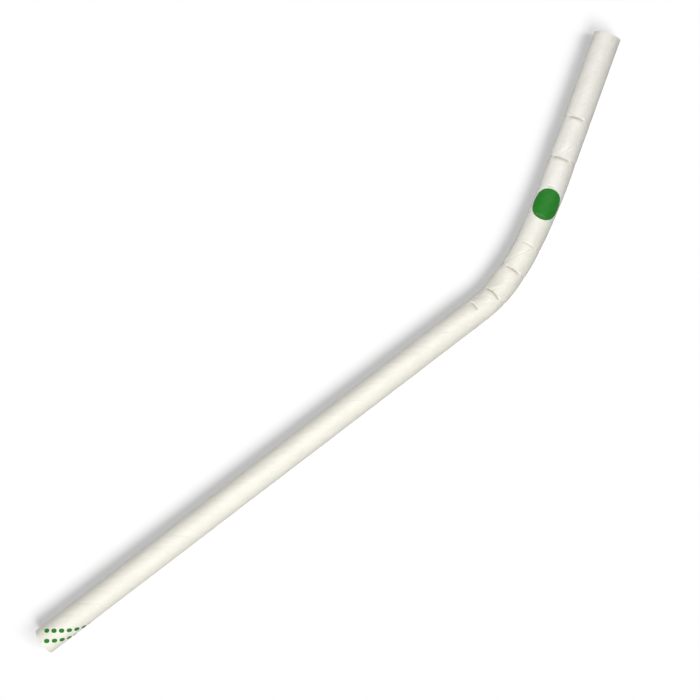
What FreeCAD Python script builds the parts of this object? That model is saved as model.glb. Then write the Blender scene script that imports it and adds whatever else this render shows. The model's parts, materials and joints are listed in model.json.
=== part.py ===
import FreeCAD, Part
import math
import os

# A bendy paper straw: three paper plies wound and glued into one tube, with eight
# crease rings pressed into it near the mouth, and bent at them by hand.
# Millimetres. It lies on its side: the long leg runs along X with the foot at -X, the
# mouth leg turns towards +Y, +Z is up and Z = 0 is the surface it lies on. The origin
# is under the middle of its bounding box.

Vector = FreeCAD.Vector

# The tube. Lengths are measured along its axis.
OUTER_D = 6.25
WALL = 0.4
LENGTH = 195.0
MOUTH_LEG = 20.3  # plain tube from the last crease ring to the mouth's cut

# The crease rings, from the foot towards the mouth
RING_GAPS = [5.3, 7.0, 7.0, 7.0, 7.0, 7.0, 9.8]  # from each ring to the next
RING_TURNS = [3.4, 11.7, 7.2, 6.0, 1.8, 2.7, 0.0, 0.0]  # degrees the axis turns there
RING_DEPTHS = [0.22, 0.34, 0.29, 0.20, 0.16, 0.16, 0.27, 0.28]  # at a nick's middle
BEND_REACH = 2.6  # length of axis that the turn at one ring is spread over

# A ring is four nicks pressed round the tube. Places round the tube are angles from +Z
# towards the inside of the bend, and the nicks come in that order.
NICK_START = 11.0  # the first nick's middle
NICK_SHARES = [1.0, 1.0, 1.0, 0.4]  # of the ring's depth: top, inside, underside, outside
NICK_HALF_ANGLE = 38.0  # from a nick's middle to where it runs out

# A nick's section: a long slope on the foot's side and a steep lip on the mouth's side.
# The wall bulges into the bore behind it, by less, because the paper is also squeezed.
FOOT_SLOPE = 24.0  # degrees to the tube's surface
MOUTH_SLOPE = 55.0
NICK_FLAT = 0.06  # width of the bottom
RIDGE_FLAT = 0.34  # width of the crest inside the bore
RIDGE_SHARE = 0.6  # of the nick's depth
BLADE_CLEARANCE = 0.5  # how far a blade stands clear of the surface it presses

OUTER_R = OUTER_D / 2
BORE_R = OUTER_R - WALL


def direction(heading):
    """Unit vector in the plane of the bend, heading degrees from +X towards +Y."""
    angle = math.radians(heading)
    return Vector(math.cos(angle), math.sin(angle), 0)


def ring_stations():
    """Distance along the axis from the foot's cut to each crease ring."""
    first = LENGTH - MOUTH_LEG - sum(RING_GAPS)
    return [first + sum(RING_GAPS[:i]) for i in range(len(RING_TURNS))]


def tube_axis():
    """The tube's axis as a wire of straight runs and tangent arcs, one arc at each ring
    that turns, and the rings' places on it as (point, heading)."""
    edges = []
    rings = []
    heading = 0.0
    start = Vector(0, 0, OUTER_R)
    travelled = 0.0
    for station, turn in zip(ring_stations(), RING_TURNS):
        if turn == 0:
            rings.append((start + direction(heading) * (station - travelled), heading))
            continue
        arc_start = start + direction(heading) * (station - BEND_REACH / 2 - travelled)
        radius = BEND_REACH / math.radians(turn)
        centre = arc_start + direction(heading + 90) * radius
        arc_middle = centre + direction(heading + turn / 2 - 90) * radius
        arc_end = centre + direction(heading + turn - 90) * radius
        edges.append(Part.LineSegment(start, arc_start).toShape())
        edges.append(Part.Arc(arc_start, arc_middle, arc_end).toShape())
        rings.append((arc_middle, heading + turn / 2))
        heading += turn
        start = arc_end
        travelled = station + BEND_REACH / 2
    mouth = start + direction(heading) * (LENGTH - travelled)
    edges.append(Part.LineSegment(start, mouth).toShape())
    return Part.Wire(edges), rings


def blade_section(edge_radius, height, flat):
    """Section of a blade in XZ: X runs towards the mouth, and Z away from the middle of
    the circle that the blade's edge follows."""
    foot_run = height / math.tan(math.radians(FOOT_SLOPE))
    mouth_run = height / math.tan(math.radians(MOUTH_SLOPE))
    corners = [
        Vector(-flat / 2, 0, edge_radius),
        Vector(flat / 2, 0, edge_radius),
        Vector(flat / 2 + mouth_run, 0, edge_radius + height),
        Vector(-flat / 2 - foot_run, 0, edge_radius + height),
    ]
    return Part.Face(Part.makePolygon(corners + corners[:1]))


def ring_blades(radius, ring_depth, flat):
    """The blades of one ring, round a rod that runs along X through the origin.

    A blade's edge is hollow. It follows a circle that lies a nick's depth under the
    rod's surface at the middle of the nick, and comes out of it NICK_HALF_ANGLE to
    either side.
    """
    end_height = radius * math.cos(math.radians(NICK_HALF_ANGLE))
    end_width = radius * math.sin(math.radians(NICK_HALF_ANGLE))
    blades = []
    for i, share in enumerate(NICK_SHARES):
        depth = ring_depth * share
        rise = radius - depth - end_height
        edge_radius = (end_width**2 + rise**2) / (2 * rise)
        section = blade_section(edge_radius, depth + BLADE_CLEARANCE, flat)
        blade = section.revolve(Vector(), Vector(1, 0, 0), 360)
        blade.translate(Vector(0, 0, radius - depth - edge_radius))
        place_round = NICK_START + i * 360 / len(NICK_SHARES)
        blade.rotate(Vector(), Vector(1, 0, 0), -place_round)
        blades.append(blade)
    return blades


def creased_rod(radius, depth_share, flat):
    """A solid rod along the tube's axis with every crease ring pressed into it."""
    axis, rings = tube_axis()
    foot = axis.Vertexes[0].Point
    disc = Part.Face(Part.Wire(Part.Circle(foot, direction(0), radius).toShape()))
    blades = []
    for (point, heading), depth in zip(rings, RING_DEPTHS):
        for blade in ring_blades(radius, depth * depth_share, flat):
            blade.rotate(Vector(), Vector(0, 0, 1), heading)
            blade.translate(point)
            blades.append(blade)
    return axis.makePipe(disc).cut(blades)


def straw_tube():
    """The straw: its creased outside less its bore, which has a ridge behind each nick."""
    outside = creased_rod(OUTER_R, 1.0, NICK_FLAT)
    bore = creased_rod(BORE_R, RIDGE_SHARE, RIDGE_FLAT)
    tube = outside.cut(bore).Solids[0]
    box = tube.optimalBoundingBox(False)
    tube.translate(Vector(-box.Center.x, -box.Center.y, 0))
    return tube


os.makedirs("parts", exist_ok=True)
straw_tube().exportStep("parts/straw_tube.step")
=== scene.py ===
import json
import math

import bpy
import numpy as np
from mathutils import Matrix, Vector


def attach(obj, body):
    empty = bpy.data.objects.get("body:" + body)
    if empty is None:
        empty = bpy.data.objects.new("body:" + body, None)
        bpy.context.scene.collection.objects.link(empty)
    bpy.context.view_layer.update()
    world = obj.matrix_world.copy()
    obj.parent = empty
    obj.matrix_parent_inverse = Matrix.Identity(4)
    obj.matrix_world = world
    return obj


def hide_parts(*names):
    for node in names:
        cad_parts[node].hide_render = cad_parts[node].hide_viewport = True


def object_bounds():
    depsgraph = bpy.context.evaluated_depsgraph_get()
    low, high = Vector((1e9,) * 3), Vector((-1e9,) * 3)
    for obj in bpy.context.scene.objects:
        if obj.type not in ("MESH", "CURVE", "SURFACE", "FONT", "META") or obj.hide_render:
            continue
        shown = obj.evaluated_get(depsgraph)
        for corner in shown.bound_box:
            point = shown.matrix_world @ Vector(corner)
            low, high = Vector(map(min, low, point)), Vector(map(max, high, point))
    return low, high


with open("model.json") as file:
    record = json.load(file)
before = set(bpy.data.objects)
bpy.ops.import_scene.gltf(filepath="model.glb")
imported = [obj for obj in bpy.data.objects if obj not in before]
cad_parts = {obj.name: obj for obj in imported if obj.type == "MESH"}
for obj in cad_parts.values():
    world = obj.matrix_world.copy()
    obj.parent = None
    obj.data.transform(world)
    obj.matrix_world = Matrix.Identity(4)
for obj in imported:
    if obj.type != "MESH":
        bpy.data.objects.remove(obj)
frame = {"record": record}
cad_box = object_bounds()

# ---------------------------------------------------------------------------------------
# The straw: three paper plies, wound on a mandrel and glued to each other into one tube.
# The outer ply's edges meet in a helical seam. Crease rings are pressed into the tube near
# the mouth, and it was bent by hand at them.
# ---------------------------------------------------------------------------------------
MM = 0.001
mounts = {mount["name"]: mount for mount in frame["record"]["mounts"]}
foot_centre = np.array(mounts["foot_bore"]["pos_m"]) / MM
mouth_centre = np.array(mounts["mouth_bore"]["pos_m"]) / MM
OUTER_R = mounts["stem"]["dims"]["r_mm"]
BORE_R = mounts["foot_bore"]["dims"]["r_mm"]

# Millimetres, as are all sizes of the straw below. A station is a distance along the axis
# from the foot's cut.
LENGTH = 195.0
RING_STATIONS = np.array([124.6, 129.9, 136.9, 143.9, 150.9, 157.9, 164.9, 174.7])
RING_TURNS = np.array([3.4, 11.7, 7.2, 6.0, 1.8, 2.7, 0.0, 0.0])  # degrees
BEND_REACH = 2.6  # the length of axis that a ring's turn is spread over
MOUTH_TOLERANCE = 0.05

# The winding: what the helix advances in one turn, and where the seam first comes on top
WINDING_PITCH = 25.35
SEAM_ON_TOP = 14.9
SEAM_STEP = 0.055  # the proud edge stands this much above the one tucked in beside it
SEAM_GAP = 0.05  # between the two edges, round the tube
PLY_SINK = 0.015  # how far the plain paper lies under the proud edge
GIRTH = 2 * math.pi * OUTER_R
WINDING_ANGLE = math.atan2(GIRTH, WINDING_PITCH)


def heading_at(station):
    """Direction of the axis in the plane of the bend, in radians from +X towards +Y."""
    turned = np.zeros_like(station)
    for ring, turn in zip(RING_STATIONS, RING_TURNS):
        share = np.clip((station - ring) / BEND_REACH + 0.5, 0, 1)
        turned += math.radians(turn) * share
    return turned


AXIS_STEP = 0.01


def axis_at(station):
    """The axis's points at these stations."""
    steps = np.linspace(0, LENGTH, round(LENGTH / AXIS_STEP) + 1)
    middle = heading_at((steps[1:] + steps[:-1]) / 2)
    length = steps[1] - steps[0]
    x = np.concatenate([[0], np.cumsum(np.cos(middle)) * length])
    y = np.concatenate([[0], np.cumsum(np.sin(middle)) * length])
    points = np.zeros((len(station), 3))
    points[:, 0] = np.interp(station, steps, x)
    points[:, 1] = np.interp(station, steps, y)
    return points + foot_centre


off_line = np.linalg.norm(axis_at(np.array([LENGTH]))[0] - mouth_centre)
if off_line > MOUTH_TOLERANCE:
    raise ValueError(f"the straw's line ends {off_line:.2f} mm from the mouth's mount")

# Lines along the winding, as arc lengths round the tube from the seam: from the tucked
# edge round to the proud one. They are closer where the edges meet.
PLAIN_LINES = 112
FIRST_PLAIN_LINE = 0.56
beside_tucked_edge = np.array([0.0, 0.06, 0.14, 0.26, 0.4])
beside_proud_edge = GIRTH - SEAM_GAP - beside_tucked_edge[::-1] * 0.8
between = np.linspace(FIRST_PLAIN_LINE, GIRTH - FIRST_PLAIN_LINE, PLAIN_LINES)
lines_round = np.concatenate([beside_tucked_edge, between, beside_proud_edge])


def angle_of(station, line):
    """Angle round the tube, from +Z towards the inside of the bend, of a winding line."""
    turned = (station - SEAM_ON_TOP) / WINDING_PITCH
    return line / OUTER_R - 2 * math.pi * turned


def on_strip(station, line):
    """A place on the unwound strip: along it, and across it from the seam."""
    round_tube = line - GIRTH * (station - SEAM_ON_TOP) / WINDING_PITCH
    along = station * math.cos(WINDING_ANGLE) - round_tube * math.sin(WINDING_ANGLE)
    return along, line * math.cos(WINDING_ANGLE) + 0 * station


def fading(distance, reach, power=2):
    """1 at no distance, and next to nothing well past reach."""
    return np.exp(-((distance / reach) ** power))


# The crease rings. Blades press four nicks into the wall at each ring, before the tube is
# cut off: a long slope on the foot's side, a sharp line, and a steep side towards the
# mouth. Angles are in degrees from the top towards the inside of the bend.
#
# A crease's shift and wave, its top nick's middle and half width, and on the foot's side
# the sharp line's run, the long slope's run, and the slope's share of the depth
CREASES = [
    (0.14, 0.07, 29, 26, 0.28, 2.3, 0.62),
    (0.06, 0.12, 16, 42, 0.34, 1.4, 0.45),
    (0.13, 0.04, 6, 36, 0.46, 1.6, 0.48),
    (-0.19, 0.04, 8, 31, 0.28, 0.6, 0.20),
    (0.00, 0.04, 10, 28, 0.30, 0.8, 0.30),
    (-0.10, 0.04, 15, 20, 0.30, 0.8, 0.30),
    (-0.08, 0.03, 18, 43, 0.72, 1.0, 0.25),
    (-0.14, 0.03, 15, 38, 0.55, 0.9, 0.25),
]
CREASE_LINES = RING_STATIONS + np.array([crease[0] for crease in CREASES])
# The other nicks' middles and half widths: inside, underside and outside
OTHER_NICKS = [(101, 38), (191, 38), (281, 38)]
NICK_DEPTHS = [  # at the nick's middle: top, inside, underside, outside
    [0.38, 0.20, 0.22, 0.09],
    [0.48, 0.32, 0.34, 0.14],
    [0.39, 0.24, 0.29, 0.12],
    [0.16, 0.18, 0.20, 0.10],
    [0.14, 0.14, 0.16, 0.06],
    [0.14, 0.20, 0.16, 0.07],
    [0.33, 0.24, 0.27, 0.13],
    [0.35, 0.22, 0.28, 0.08],
]
STAIN_AND_SHADE = [3.3, 1.3, 2.5, 1.3]  # how dark each nick is painted: pressed paper and painted shade in the crease
CREASE_REACH = 5.0  # a crease changes nothing past this
LIP = 0.015  # how far the paper is pushed up beside the steep side, at a plain nick
PLAIN_DEPTH = 0.3
LIP_AWAY = 0.10
LIP_HALF = 0.15


def nicks(station, angle, mouth_run, blunt):
    """How far the nicks press the wall in, the lip beside them, and how dark it is painted:
    pressed paper and painted shade.
    """
    sunk = np.zeros_like(angle)
    lip = np.zeros_like(angle)
    marked_and_shaded = np.zeros_like(angle)
    for ring, crease, depths in zip(CREASE_LINES, CREASES, NICK_DEPTHS):
        _, wave, top_middle, top_half, line_run, slope_run, slope_share = crease
        rows = np.abs(station[:, 0] - ring) < CREASE_REACH
        wander = wave * np.cos(4 * angle[rows] - math.radians(4 * top_middle))
        along = station[rows] - ring - wander
        away = np.sqrt(along**2 + blunt**2) - blunt
        run = np.where(along < 0, line_run + blunt, mouth_run)
        line = np.clip(1 - away / run, 0, 1) ** 1.25
        for nick, depth, stain_and_shade in zip([(top_middle, top_half), *OTHER_NICKS], depths, STAIN_AND_SHADE):
            middle, half = np.radians(nick)
            off = (angle[rows] - middle + math.pi) % (2 * math.pi) - math.pi
            # The slope runs out sooner than the line towards the nick's ends
            full = np.clip(1 - (off / half) ** 2, 0, 1)
            slope = np.clip(1 + along / slope_run, 0, 1) ** 2
            slope = np.where(along < 0, slope * full**0.7, line * full**0.4)
            press = depth * (slope_share * slope + (1 - slope_share) * line * full**0.4)
            sunk[rows] = np.maximum(sunk[rows], press)
            crest = fading(along - mouth_run - LIP_AWAY, LIP_HALF)
            lip[rows] = np.maximum(lip[rows], full * crest * depth / PLAIN_DEPTH)
            # The line is painted darker for pressed paper and for the shade in the crease; the
            # slope before it gets painted shade only.
            line_mark_and_shade = 0.8 * fading(along + 0.2 * line_run, 0.45 * line_run)
            slope_shade = np.where(along < 0, 0.25 * slope, 0)
            mark_and_shade = line_mark_and_shade * full**0.4 + slope_shade
            marked_and_shaded[rows] = np.maximum(marked_and_shaded[rows], mark_and_shade * stain_and_shade * depth)
    return sunk, lip, marked_and_shaded


# Where bending by hand has swelled or dented the wall: station, angle, height
SWELL_LENGTH = 2.0
SWELL_WIDTH = 0.75  # radians
SWELLS = [
    (127.2, 50, -0.28),
    (127.2, -50, 0.24),
    (127.2, 270, -0.08),
    (133.4, 50, -0.32),
    (133.4, -50, 0.28),
    (133.6, 90, 0.19),
    (133.8, 270, 0.02),
    (140.4, 50, -0.10),
    (140.4, -50, 0.14),
    (144.2, 270, -0.10),
    (148.0, 90, 0.05),
    (161.0, 90, 0.05),
    (167.2, 90, 0.16),
]


def swelling(station, angle):
    """How far the wall stands out, or is dented, at the bend."""
    total = np.zeros_like(angle)
    for middle, side, height in SWELLS:
        off = (angle - math.radians(side) + math.pi) % (2 * math.pi) - math.pi
        total += height * np.exp(
            -(((station - middle) / SWELL_LENGTH) ** 2) - (off / SWELL_WIDTH) ** 2
        )
    return total


# The slow unevenness of the wound paper, as a sum of waves on the strip
RIPPLE = 0.012
RIPPLE_WAVES = 40
RIPPLE_LENGTHS = (5.0, 22.0)
RIPPLE_FADE = 2.0  # it fades out this far from the seam, where the edges are glued down


def ripple(station, line):
    """The paper's unevenness, from about -1 to 1, the same at every run."""
    draw = np.random.RandomState(7)
    total = np.zeros(np.broadcast(station, line).shape)
    along, across = on_strip(station, line)
    fade = np.clip(np.minimum(line, GIRTH - line) / RIPPLE_FADE, 0, 1)
    for _ in range(RIPPLE_WAVES):
        length = draw.uniform(*RIPPLE_LENGTHS)
        turn = draw.normal(0.0, 0.5)
        phase = draw.uniform(0, 2 * math.pi)
        place_on_wave = across * math.cos(turn) + along * math.sin(turn)
        total += np.sin(2 * math.pi / length * place_on_wave + phase)
    return total / RIPPLE_WAVES**0.5 * fade


def wall_rows(plain, near, rings):
    """Stations of a wall's rows, plain apart, and at these places near each ring."""
    rows = [0.0, LENGTH]
    for ring in rings:
        rows.extend(ring + np.array(near))
    rows = sorted(rows)
    filled = []
    for low, high in zip(rows, rows[1:]):
        count = max(1, round((high - low) / plain))
        filled.extend(np.linspace(low, high, count, endpoint=False))
    return np.array(filled + [LENGTH])


OVER_CREASE = np.arange(-0.46, 0.6, 0.045)
BESIDE_CREASE = [-2.3, -1.7, -1.2, -0.85, -0.6, *OVER_CREASE, 0.7, 0.85, 1.1]
BESIDE_RIDGE = [-1.2, -0.7, -0.35, -0.12, 0.1, 0.3, 0.6, 1.1]
OUTSIDE_ROWS = wall_rows(0.8, BESIDE_CREASE, CREASE_LINES)
BORE_ROWS = wall_rows(1.6, BESIDE_RIDGE, RING_STATIONS)


def place(station, angle, radius):
    """Points of the tube, in metres in the frame that all pieces share."""
    centre = axis_at(station[:, 0])
    heading = heading_at(station[:, 0])
    inward = np.stack([-np.sin(heading), np.cos(heading), np.zeros_like(heading)], 1)
    up = np.array([0.0, 0.0, 1.0])
    spot = centre[:, None, :] + radius[..., None] * (
        np.sin(angle)[..., None] * inward[:, None, :] + np.cos(angle)[..., None] * up
    )
    return spot * MM


# Outside of the wall. At three short places beside two of the rings the plies' edges have
# parted a little, and clean paper shows: station and half length of each. There the lifted edge
# is painted lighter, as whiter uncovered paper and as a painted highlight.
PARTED_SEAMS = [(140.1, 0.7), (142.3, 0.5), (167.2, 0.9)]
PARTED_DEPTH = 0.07  # how much deeper the tucked edge lies there
BEHIND_DEPTH = 0.06  # how far the paper dips behind the proud edge there
SEAM_MARK_AND_SHADE = 0.04  # how dark the closed seam is painted: glue, and painted shade in its gap
PARTED_SHADE = 0.38  # how much darker the open seam is painted: painted shade in its gap
station = OUTSIDE_ROWS[:, None]
line = lines_round[None, :]
angle = angle_of(station, line)
sunk, lip, marked_and_shaded = nicks(station, angle, mouth_run=0.29, blunt=0.02)
before_seam = GIRTH - SEAM_GAP - line
parted = sum(fading(station - middle, half, power=4) for middle, half in PARTED_SEAMS)
tucked = fading(line, 0.9, power=1.2) * (SEAM_STEP - PLY_SINK)
tucked = tucked + PARTED_DEPTH * parted * fading(line, 0.35)
proud = fading(before_seam, 1.1, power=1.3) * PLY_SINK
behind_edge = (1 - fading(before_seam, 0.2)) * fading(before_seam, 0.8)
# The seam is painted darker: glue with painted shade in the closed gap, painted shade in the
# open one
marked_and_shaded = np.maximum(marked_and_shaded, fading(line, 0.16) * (SEAM_MARK_AND_SHADE + PARTED_SHADE * parted))
# The open seam's lifted edge is painted lighter: whiter uncovered paper and a painted highlight
bared_and_highlit = parted * fading(before_seam - 0.28, 0.26)
radius = OUTER_R - PLY_SINK - tucked + proud - sunk - BEHIND_DEPTH * parted * behind_edge
radius = radius + LIP * lip * (1 - proud / PLY_SINK)
radius = np.minimum(radius + RIPPLE * (ripple(station, line) - 0.3), OUTER_R)
radius = radius + swelling(station, angle)
outside = place(station, angle, radius)

# Inside of the wall: the ridges behind the nicks
RIDGE_SHARE = 0.5  # of a nick's depth
station = BORE_ROWS[:, None]
angle = angle_of(station, line)
ridge, _, _ = nicks(station, angle, mouth_run=0.6, blunt=0.3)
inside = place(station, angle, BORE_R - RIDGE_SHARE * ridge + 0 * line)

# Cut ends: rings from the outside to the bore, sunk at the glue lines and roughened where
# the knife tore fibres
PLIES = 3
CUT_RINGS = np.linspace(0, 1, 4 * PLIES + 1)[1:-1]
CUT_SINK = 0.015
GLUE_SINK = 0.03
TORN = 0.02


def cut_end(station_of_cut, outer_row, inner_row, direction, seed):
    """Rings of points across a cut end, from the outside's row to the bore's row."""
    draw = np.random.RandomState(seed)
    heading = heading_at(np.array([station_of_cut]))[0]
    inwards = -direction * np.array([math.cos(heading), math.sin(heading), 0.0])
    rings = []
    for share in CUT_RINGS:
        ring = outer_row * (1 - share) + inner_row * share
        glue = abs((share * PLIES) % 1 - 0.5) * 2  # 1 at a glue line, 0 inside a ply
        sink = CUT_SINK + GLUE_SINK * glue**3 + draw.uniform(0, TORN, len(ring))
        rings.append(ring + inwards[None, :] * sink[:, None] * MM)
    return rings


columns = len(lines_round)
foot_cut = cut_end(0.0, outside[0], inside[0], direction=-1, seed=3)
mouth_cut = cut_end(LENGTH, outside[-1], inside[-1], direction=1, seed=4)

# The shell's rows follow each other out along the wall, over the mouth's cut, back along
# the bore and over the foot's cut, and the last row joins the first.
shell = [*outside, *mouth_cut, *inside[::-1], *foot_cut]
vertices = np.clip(np.concatenate(shell), cad_box[0], cad_box[1])
row_count = len(shell)
first = np.arange(row_count)[:, None] * columns
following = (np.arange(row_count)[:, None] + 1) % row_count * columns
this_line = np.arange(columns)[None, :]
next_line = (this_line + 1) % columns
faces = np.stack(
    [first + this_line, following + this_line, following + next_line, first + next_line], -1
).reshape(-1, 4)

mesh = bpy.data.meshes.new("straw_tube")
mesh.vertices.add(len(vertices))
mesh.vertices.foreach_set("co", vertices.astype(np.float32).ravel())
mesh.loops.add(faces.size)
mesh.loops.foreach_set("vertex_index", faces.astype(np.int32).ravel())
mesh.polygons.add(len(faces))
mesh.polygons.foreach_set("loop_start", np.arange(0, faces.size, 4, dtype=np.int32))
mesh.polygons.foreach_set("use_smooth", np.ones(len(faces), bool))

# The finish of each face: 0 is the outer ply, 1 the inner ply and 2 the cut edge
outside_faces = (len(OUTSIDE_ROWS) - 1) * columns
mouth_faces = outside_faces + (len(CUT_RINGS) + 1) * columns
bore_faces = mouth_faces + (len(BORE_ROWS) - 1) * columns
finish_of = np.full(len(faces), 2, np.int32)
finish_of[:outside_faces] = 0
finish_of[mouth_faces:bore_faces] = 1
mesh.polygons.foreach_set("material_index", finish_of)

# Each face corner's place on the paper strip, in millimetres: along it, and across it
# from the seam
cut_rings = len(CUT_RINGS)
station_of_row = np.concatenate(
    [OUTSIDE_ROWS, np.full(cut_rings, LENGTH), BORE_ROWS[::-1], np.zeros(cut_rings)]
)
row = np.arange(row_count)[:, None] + 0 * this_line
next_row = (row + 1) % row_count
row_of = np.stack([row, next_row, next_row, row], -1).reshape(-1, 4)
column = 0 * row + this_line
line_of = np.stack([column, column, column + 1, column + 1], -1).reshape(-1, 4)
along_strip, across_strip = on_strip(
    station_of_row[row_of], np.append(lines_round, GIRTH)[line_of]
)
strip_map = mesh.uv_layers.new(name="strip")
strip_map.uv.foreach_set(
    "vector", np.stack([along_strip, across_strip], -1).astype(np.float32).ravel()
)

# How much blades and the seam darken each place, with painted shade, and the open seam's
# painted highlight
for attribute, amount in (("marked_and_shaded", marked_and_shaded), ("bared_and_highlit", bared_and_highlit)):
    made = mesh.attributes.new(attribute, "FLOAT", "POINT")
    amount_at = np.zeros(len(vertices), np.float32)
    amount_at[: amount.size] = amount.ravel()
    made.data.foreach_set("value", amount_at)
mesh.update(calc_edges=True)
mesh.validate()
mesh.set_sharp_from_angle(angle=math.radians(70))

straw = bpy.data.objects.new("paper_straw", mesh)
bpy.context.scene.collection.objects.link(straw)

# The paper's outer face: uncoated food paper with a slight calendered sheen, fibres that
# lie along the strip, and one green ink printed on the strip before it was wound.
PAPER = (0.927, 0.912, 0.812, 1)
PAPER_SHADE = (0.855, 0.840, 0.732, 1)
ROSY_PAPER = (0.925, 0.888, 0.812, 1)
COOL_PAPER = (0.925, 0.910, 0.865, 1)
# Pressed paper and glue, with painted shade in the creases and in the seam's gap
MARKED_AND_SHADED_PAPER = (0.40, 0.37, 0.29, 1)
# The open seam's lifted edge: whiter uncovered paper, and a painted highlight
BARE_PAPER_HIGHLIGHT = (0.975, 0.955, 0.875, 1)
INK = (0.004, 0.185, 0.005, 1)


def maths(tree, operation, a, b=0.0, c=0.0):
    """The output of one Math node. Its inputs are outputs of other nodes, or numbers."""
    made = tree.nodes.new("ShaderNodeMath")
    made.operation = operation
    for socket, value in zip(made.inputs, (a, b, c)):
        if isinstance(value, bpy.types.NodeSocket):
            tree.links.new(value, socket)
        else:
            socket.default_value = value
    return made.outputs[0]


def fibre_noise(tree, strip_place, scale, stretch, detail):
    """Noise at a scale in features per millimetre, drawn out along the strip."""
    mapping = tree.nodes.new("ShaderNodeMapping")
    mapping.inputs["Scale"].default_value = (scale / stretch, scale, 1)
    tree.links.new(strip_place, mapping.inputs["Vector"])
    noise = tree.nodes.new("ShaderNodeTexNoise")
    noise.inputs["Scale"].default_value = 1.0
    noise.inputs["Detail"].default_value = detail
    noise.inputs["Roughness"].default_value = 0.6
    tree.links.new(mapping.outputs[0], noise.inputs["Vector"])
    return noise.outputs["Fac"]


def spread(tree, value, low, high, to_low=0.0, to_high=1.0):
    """value, stretched from low..high to to_low..to_high and held there."""
    made = tree.nodes.new("ShaderNodeMapRange")
    tree.links.new(value, made.inputs["Value"])
    made.inputs["From Min"].default_value = low
    made.inputs["From Max"].default_value = high
    made.inputs["To Min"].default_value = to_low
    made.inputs["To Max"].default_value = to_high
    return made.outputs["Result"]


def blend_colour(tree, share, a, b):
    """Colour a with this share of colour b over it."""
    made = tree.nodes.new("ShaderNodeMix")
    made.data_type = "RGBA"
    tree.links.new(share, made.inputs["Factor"])
    for name, value in (("A", a), ("B", b)):
        socket = [s for s in made.inputs if s.name == name and s.type == "RGBA"][0]
        if isinstance(value, bpy.types.NodeSocket):
            tree.links.new(value, socket)
        else:
            socket.default_value = value
    return [s for s in made.outputs if s.type == "RGBA"][0]


def raised(tree, shader, height, distance):
    """Gives a shader's surface the relief of height, distance metres deep."""
    bump = tree.nodes.new("ShaderNodeBump")
    bump.inputs["Distance"].default_value = distance
    tree.links.new(height, bump.inputs["Height"])
    tree.links.new(bump.outputs[0], shader.inputs["Normal"])


def new_finish(name):
    """A new material on the straw: its node tree, its shader and the place on the strip."""
    material = bpy.data.materials.new(name)
    material.use_nodes = True
    tree = material.node_tree
    tree.nodes.clear()
    output = tree.nodes.new("ShaderNodeOutputMaterial")
    shader = tree.nodes.new("ShaderNodeBsdfPrincipled")
    tree.links.new(shader.outputs["BSDF"], output.inputs["Surface"])
    uv = tree.nodes.new("ShaderNodeUVMap")
    uv.uv_map = "strip"
    straw.data.materials.append(material)
    return tree, shader, uv.outputs["UV"]


tree, shader, strip_place = new_finish("outer_ply")
cloud = fibre_noise(tree, strip_place, scale=0.35, stretch=2.0, detail=3.0)
mottle = fibre_noise(tree, strip_place, scale=1.1, stretch=2.5, detail=4.0)
fibre = fibre_noise(tree, strip_place, scale=6.0, stretch=7.0, detail=3.0)
tint = fibre_noise(tree, strip_place, scale=0.22, stretch=1.8, detail=1.0)
split = tree.nodes.new("ShaderNodeSeparateXYZ")
tree.links.new(strip_place, split.inputs[0])
along, across = split.outputs["X"], split.outputs["Y"]

# The print, in the middle of the strip: two rows of dashes at the foot, and one round dot
# by the bend. Each shape is a distance from its edge, in millimetres, negative inside.
STRIP_MIDDLE = GIRTH / 2
DASH_HALF_HEIGHT = 0.5
DASH_PITCH = 1.75
DASH_HALF_LENGTH = 0.62
DASH_ROWS = [(1.65, -10.98), (-0.70, -10.84)]  # across from the strip's middle, and along
DASHES_IN_ROW = 13
DOT_STATION = 153.7
DOT_RADIUS = 3.65
DOT_OFF_MIDDLE = -0.35


def how_far(tree, coordinate, middle):
    """How far a coordinate on the strip is from a shape's middle."""
    return maths(tree, "ABSOLUTE", maths(tree, "SUBTRACT", coordinate, middle))


def hypotenuse(tree, a, b):
    """How far a place is that lies a and b away in two directions at right angles."""
    squares = maths(tree, "MULTIPLY_ADD", a, a, maths(tree, "MULTIPLY", b, b))
    return maths(tree, "SQRT", squares)


middle_across = STRIP_MIDDLE * math.cos(WINDING_ANGLE)
shapes = []
for offset, start in DASH_ROWS:
    from_start = maths(tree, "SUBTRACT", along, start)
    in_pitch = maths(tree, "WRAP", from_start, DASH_PITCH / 2, -DASH_PITCH / 2)
    past_straight = how_far(tree, in_pitch, 0.0)
    past_straight = maths(tree, "SUBTRACT", past_straight, DASH_HALF_LENGTH - DASH_HALF_HEIGHT)
    past_straight = maths(tree, "MAXIMUM", past_straight, 0.0)
    off_row = how_far(tree, across, middle_across + offset)
    away = hypotenuse(tree, past_straight, off_row)
    dash = maths(tree, "SUBTRACT", away, DASH_HALF_HEIGHT)
    row_half = DASHES_IN_ROW * DASH_PITCH / 2
    row_middle = start - DASH_PITCH / 2 + row_half
    past_row = maths(tree, "SUBTRACT", how_far(tree, along, row_middle), row_half)
    shapes.append(maths(tree, "MAXIMUM", dash, past_row))
dot_along, dot_across = on_strip(DOT_STATION, STRIP_MIDDLE + DOT_OFF_MIDDLE)
off_along, off_across = how_far(tree, along, dot_along), how_far(tree, across, dot_across)
away = hypotenuse(tree, off_along, off_across)
shapes.append(maths(tree, "SUBTRACT", away, DOT_RADIUS))
nearest = maths(tree, "MINIMUM", maths(tree, "MINIMUM", shapes[0], shapes[1]), shapes[2])

# The ink's edge follows the fibres, within a twentieth of a millimetre
INK_CREEP = 0.05
INK_FADE = 0.03
ragged = maths(tree, "SUBTRACT", nearest, INK_CREEP)
ragged = maths(tree, "MULTIPLY_ADD", fibre, 2 * INK_CREEP, ragged)
inked = spread(tree, ragged, -INK_FADE, INK_FADE, 1.0, 0.0)
inked = maths(tree, "MULTIPLY", inked, spread(tree, mottle, 0.3, 0.7, 0.985, 1.0))

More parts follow.
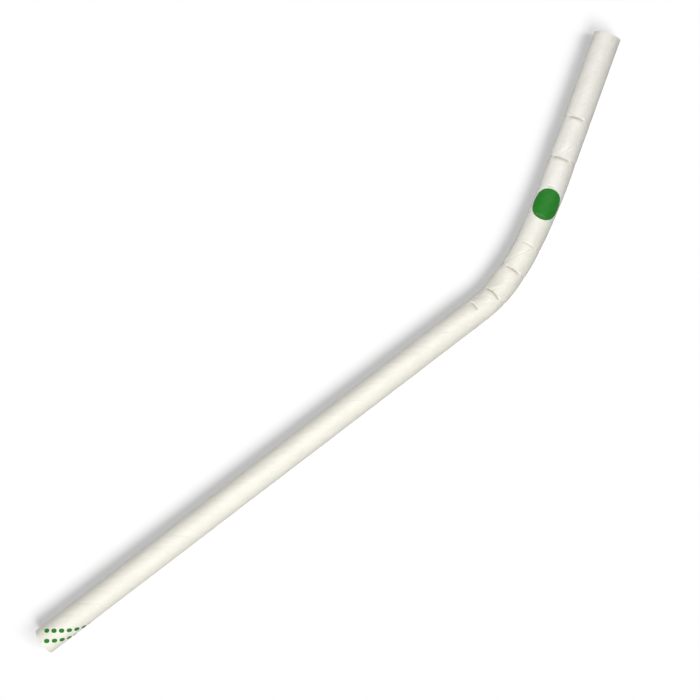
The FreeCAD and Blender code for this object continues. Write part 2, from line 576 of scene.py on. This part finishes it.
# The paper is clouded, mottled and fibrous, rosy in patches and cooler past the bend.
# A place's station, from_foot, is worked out from where it is on the strip.
COOLER_FROM = 138.0
COOLER_TO = 156.0
base = blend_colour(tree, spread(tree, cloud, 0.3, 0.7, 0.0, 0.5), PAPER, PAPER_SHADE)
base = blend_colour(tree, spread(tree, mottle, 0.35, 0.75, 0.0, 0.35), base, PAPER_SHADE)
base = blend_colour(tree, spread(tree, fibre, 0.5, 0.8, 0.0, 0.5), base, PAPER_SHADE)
base = blend_colour(tree, spread(tree, tint, 0.45, 0.65, 0.0, 0.7), base, ROSY_PAPER)
sine, cosine = math.sin(WINDING_ANGLE), math.cos(WINDING_ANGLE)
from_foot = maths(tree, "MULTIPLY_ADD", across, sine, SEAM_ON_TOP * sine**2)
from_foot = maths(tree, "MULTIPLY_ADD", along, cosine, from_foot)
cooler = spread(tree, from_foot, COOLER_FROM, COOLER_TO, 0.0, 0.55)
base = blend_colour(tree, cooler, base, COOL_PAPER)
base = blend_colour(tree, inked, base, INK)
# The open seam's lifted edge is painted lighter: whiter uncovered paper and a painted highlight
bare_highlight = tree.nodes.new("ShaderNodeAttribute")
bare_highlight.attribute_name = "bared_and_highlit"
base = blend_colour(tree, bare_highlight.outputs["Fac"], base, BARE_PAPER_HIGHLIGHT)
# Blades and the seam darken the paper: pressed paper and glue, with painted shade in creases
# and gaps
wear_and_shade = tree.nodes.new("ShaderNodeAttribute")
wear_and_shade.attribute_name = "marked_and_shaded"
worn_and_shaded = spread(tree, wear_and_shade.outputs["Fac"], 0.0, 1.4, 0.0, 0.75)
base = blend_colour(tree, worn_and_shaded, base, MARKED_AND_SHADED_PAPER)
tree.links.new(base, shader.inputs["Base Color"])

# The paper has a slight sheen and the ink next to none
INK_ROUGHER = 0.35
sheen = spread(tree, mottle, 0.3, 0.7, 0.38, 0.46)
sheen = maths(tree, "MULTIPLY_ADD", inked, INK_ROUGHER, sheen)
tree.links.new(sheen, shader.inputs["Roughness"])
shader.inputs["Specular IOR Level"].default_value = 0.4
relief = maths(tree, "MULTIPLY_ADD", mottle, 3.0, maths(tree, "MULTIPLY", fibre, 0.5))
relief = maths(tree, "MULTIPLY_ADD", cloud, 6.0, relief)
raised(tree, shader, relief, distance=0.00004)

# The bore's face is the plain inner ply.
tree, shader, strip_place = new_finish("inner_ply")
mottle = fibre_noise(tree, strip_place, scale=1.1, stretch=2.5, detail=4.0)
fibre = fibre_noise(tree, strip_place, scale=6.0, stretch=7.0, detail=3.0)
base = blend_colour(tree, spread(tree, mottle, 0.3, 0.7), PAPER, PAPER_SHADE)
tree.links.new(base, shader.inputs["Base Color"])
tree.links.new(spread(tree, fibre, 0.3, 0.7, 0.6, 0.75), shader.inputs["Roughness"])
raised(tree, shader, fibre, distance=0.00003)

# The cut shows raw fibres.
tree, shader, strip_place = new_finish("cut_edge")
fuzz = fibre_noise(tree, strip_place, scale=8.0, stretch=1.0, detail=3.0)
base = blend_colour(tree, spread(tree, fuzz, 0.3, 0.7), PAPER, PAPER_SHADE)
tree.links.new(base, shader.inputs["Base Color"])
tree.links.new(spread(tree, fuzz, 0.3, 0.7, 0.75, 0.9), shader.inputs["Roughness"])
raised(tree, shader, fuzz, distance=0.00005)

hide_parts("straw_tube")
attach(straw, "root")

# ---------------------------------------------------------------------------------------
# The table it lies on: a plain pale surface that keeps the straw's shadow. To the camera
# half of its white is a glow of its own, so the shadow stays pale. It lies a hair under
# the straw, so that the two faces don't flicker.
# ---------------------------------------------------------------------------------------
TABLE_HALF = 3.0
TABLE_GREY = (0.5, 0.5, 0.5, 1)
TABLE_GLOW = 0.475
TABLE_UNDER = 0.00002
corners = [(-TABLE_HALF, -TABLE_HALF), (TABLE_HALF, -TABLE_HALF)]
corners += [(TABLE_HALF, TABLE_HALF), (-TABLE_HALF, TABLE_HALF)]
table_mesh = bpy.data.meshes.new("table")
table_mesh.from_pydata([(x, y, 0) for x, y in corners], [], [(0, 1, 2, 3)])
table = bpy.data.objects.new("table", table_mesh)
bpy.context.scene.collection.objects.link(table)
table.location.z = cad_box[0].z - TABLE_UNDER
material = bpy.data.materials.new("pale_table")
material.use_nodes = True
tree = material.node_tree
tree.nodes.clear()
output = tree.nodes.new("ShaderNodeOutputMaterial")
matte = tree.nodes.new("ShaderNodeBsdfDiffuse")
matte.inputs["Color"].default_value = TABLE_GREY
glow = tree.nodes.new("ShaderNodeEmission")
add = tree.nodes.new("ShaderNodeAddShader")


def seen_directly(tree):
    """1 for what the camera sees directly, or in gloss or glass, and 0 for other light."""
    rays = tree.nodes.new("ShaderNodeLightPath")
    gloss = maths(tree, "MAXIMUM", rays.outputs["Is Camera Ray"], rays.outputs["Is Glossy Ray"])
    return maths(tree, "MAXIMUM", gloss, rays.outputs["Is Transmission Ray"])


strength = maths(tree, "MULTIPLY", seen_directly(tree), TABLE_GLOW)
tree.links.new(strength, glow.inputs["Strength"])
tree.links.new(matte.outputs[0], add.inputs[0])
tree.links.new(glow.outputs[0], add.inputs[1])
tree.links.new(add.outputs[0], output.inputs["Surface"])
table_mesh.materials.append(material)

# ---------------------------------------------------------------------------------------
# The studio: two soft boxes that light the straw, a large one overhead and a small one
# from the near side, and the table's own two lamps, which throw the straw's shadow on it.
# Places in it are metres to the right and up in the camera's view, and in height.
# ---------------------------------------------------------------------------------------
VIEW_OFF_MIDDLE = Vector((0.00199, -0.00516, 0))  # from the straw's middle to the view's
VIEW_RIGHT = Vector((0.7944, -0.6074, 0))
VIEW_UP = Vector((0.6074, 0.7944, 0))
box_middle = (cad_box[0] + cad_box[1]) / 2
view_point = Vector((box_middle.x, box_middle.y, OUTER_R * MM)) + VIEW_OFF_MIDDLE


def lamp_for(name, lamp, thing):
    """Puts a lamp in the scene that lights only this thing."""
    holder = bpy.data.objects.new(name, lamp)
    bpy.context.scene.collection.objects.link(holder)
    lit = bpy.data.collections.new(name + "_lights")
    lit.objects.link(thing)
    holder.light_linking.receiver_collection = lit
    return holder


def soft_box(name, right, up, height, radius, level):
    """A round soft box that faces the straw. At level 1 a small one lights white to white."""
    lamp = bpy.data.lights.new(name, "AREA")
    lamp.shape = "DISK"
    lamp.size = 2 * radius
    offset = VIEW_RIGHT * right + VIEW_UP * up + Vector((0, 0, height))
    lamp.energy = level * math.pi**2 * offset.length_squared
    holder = lamp_for(name, lamp, straw)
    holder.location = view_point + offset
    holder.rotation_euler = offset.to_track_quat("Z", "Y").to_euler()


soft_box("overhead_box", right=-0.009, up=0.015, height=0.262, radius=0.147, level=1.045)
soft_box("near_box", right=-0.085, up=-0.348, height=0.287, radius=0.050, level=0.343)

# The table's lamps stand far off in a row beside the straw, on the outside of its bend:
# how far each is aside and forward for 1 up, and its share of the table's light
TABLE_LAMPS = [(0.634, -0.309, 0.587), (0.719, 0.333, 0.413)]
TABLE_LEVEL = 1.047
TABLE_LAMP_WIDTH = math.radians(30)
ROW_HEADING = math.radians(53.7)  # from the view's right
along_row = VIEW_RIGHT * math.cos(ROW_HEADING) + VIEW_UP * math.sin(ROW_HEADING)
beside_row = VIEW_RIGHT * math.sin(ROW_HEADING) - VIEW_UP * math.cos(ROW_HEADING)
for i, (aside, forward, share) in enumerate(TABLE_LAMPS):
    towards = beside_row * aside + along_row * forward + Vector((0, 0, 1))
    towards.normalize()
    lamp = bpy.data.lights.new(f"table_lamp_{i}", "SUN")
    lamp.angle = TABLE_LAMP_WIDTH
    lamp.energy = math.pi * TABLE_LEVEL * share / towards.z
    holder = lamp_for(f"table_lamp_{i}", lamp, table)
    holder.rotation_euler = towards.to_track_quat("Z", "Y").to_euler()

world = bpy.data.worlds.new("studio")
world.use_nodes = True
tree = world.node_tree
tree.nodes.clear()
output = tree.nodes.new("ShaderNodeOutputWorld")
background = tree.nodes.new("ShaderNodeBackground")
background.inputs["Color"].default_value = (1, 1, 1, 1)
tree.links.new(seen_directly(tree), background.inputs["Strength"])
tree.links.new(background.outputs[0], output.inputs["Surface"])
bpy.context.scene.world = world

# ---------------------------------------------------------------------------------------
# The camera: straight above the straw, on a desk copy stand, with the long leg rising to
# the right in its view.
# ---------------------------------------------------------------------------------------
CAMERA_HEIGHT = 0.360  # above the tube's axis
VIEW_WIDTH = 0.1602  # what it takes in there
camera_data = bpy.data.cameras.new("camera")
camera_data.sensor_width = 36
camera_data.lens = camera_data.sensor_width * CAMERA_HEIGHT / VIEW_WIDTH
camera_data.clip_start = 0.01
camera_data.clip_end = 10
camera = bpy.data.objects.new("camera", camera_data)
camera.location = view_point + Vector((0, 0, CAMERA_HEIGHT))
camera.rotation_euler = (0, 0, math.atan2(VIEW_RIGHT.y, VIEW_RIGHT.x))
bpy.context.scene.collection.objects.link(camera)
bpy.context.scene.camera = camera
bpy.context.scene.view_settings.view_transform = "Standard"
